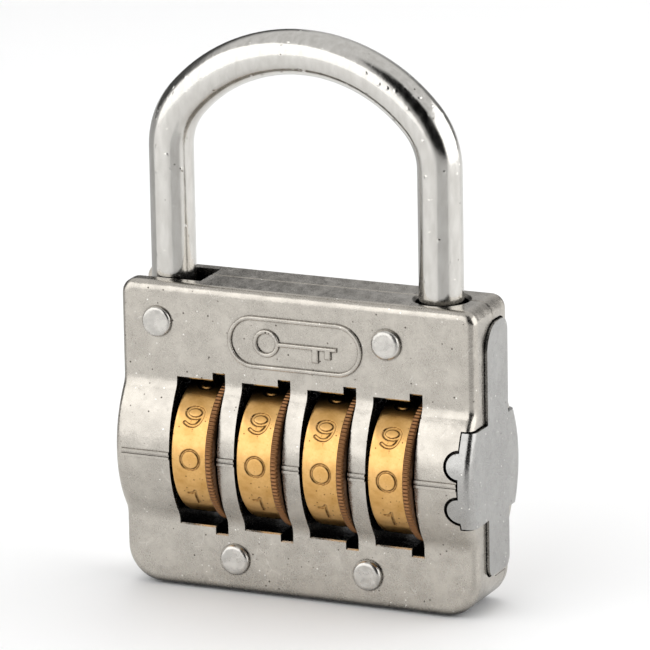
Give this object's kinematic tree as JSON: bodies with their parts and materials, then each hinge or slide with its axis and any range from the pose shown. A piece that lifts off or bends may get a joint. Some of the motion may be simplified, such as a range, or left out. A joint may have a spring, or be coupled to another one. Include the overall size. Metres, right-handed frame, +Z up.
{
  "type": "combination padlock",
  "caption": "Combination padlock: riveted nickel-plated case, brass number dials, hinged round-rod shackle and a pull-out end slide.",
  "frame": {"origin": "middle of the case's bottom face, on the ground", "axes": "+X to the right seen from the front, +Y to the back, +Z up along the shackle's legs"},
  "size_m": [0.0516, 0.0206, 0.0766],
  "materials": {
    "nickel_case": "satin nickel plate on die casting, lightly mottled",
    "nickel_rod": "polished nickel plate",
    "nickel_rivet": "nickel-plated steel",
    "dial_brass": "turned yellow brass with stamped numbers",
    "brass": "turned brass",
    "steel": "plain steel",
    "spring_steel": "spring steel"
  },
  "bodies": {
    "case": {"front_shell": "nickel_case", "rear_shell": "nickel_case", "shackle_pivot_rivet": "nickel_rivet", "rivet_top_right": "nickel_rivet", "rivet_bottom_left": "nickel_rivet", "rivet_bottom_right": "nickel_rivet", "detent_balls": "spring_steel", "detent_springs": "spring_steel"},
    "shackle": {"shackle": "nickel_rod"},
    "release": {"end_slide": "nickel_case", "spindle": "steel", "spindle_pin": "steel", "retaining_clip": "spring_steel", "return_spring": "spring_steel"},
    "latch": {"shackle_latch": "steel"},
    "wheel_1": {"dial_1": "dial_brass", "tumbler_1": "brass"},
    "wheel_2": {"dial_2": "dial_brass", "tumbler_2": "brass"},
    "wheel_3": {"dial_3": "dial_brass", "tumbler_3": "brass"},
    "wheel_4": {"dial_4": "dial_brass", "tumbler_4": "brass"}
  },
  "joints": [
    {"name": "shackle_swing", "type": "hinge", "parent": "case", "child": "shackle", "pos_m": [-0.0204, 0, 0.03662], "axis": [0, -1, 0], "range_deg": [0, 60]},
    {"name": "release_pull", "type": "slide", "parent": "case", "child": "release", "axis": [1, 0, 0], "range_m": [0, 0.0033], "deforming": ["return_spring"]},
    {"name": "latch_slide", "type": "slide", "parent": "case", "child": "latch", "axis": [-1, 0, 0], "range_m": [0, 0.0016]},
    {"name": "dial_1_turn", "type": "hinge", "parent": "case", "child": "wheel_1", "pos_m": [-0.01398, 0, 0.019], "axis": [1, 0, 0], "continuous": true},
    {"name": "dial_2_turn", "type": "hinge", "parent": "case", "child": "wheel_2", "pos_m": [-0.00448, 0, 0.019], "axis": [1, 0, 0], "continuous": true},
    {"name": "dial_3_turn", "type": "hinge", "parent": "case", "child": "wheel_3", "pos_m": [0.00502, 0, 0.019], "axis": [1, 0, 0], "continuous": true},
    {"name": "dial_4_turn", "type": "hinge", "parent": "case", "child": "wheel_4", "pos_m": [0.01452, 0, 0.019], "axis": [1, 0, 0], "continuous": true}
  ]
}
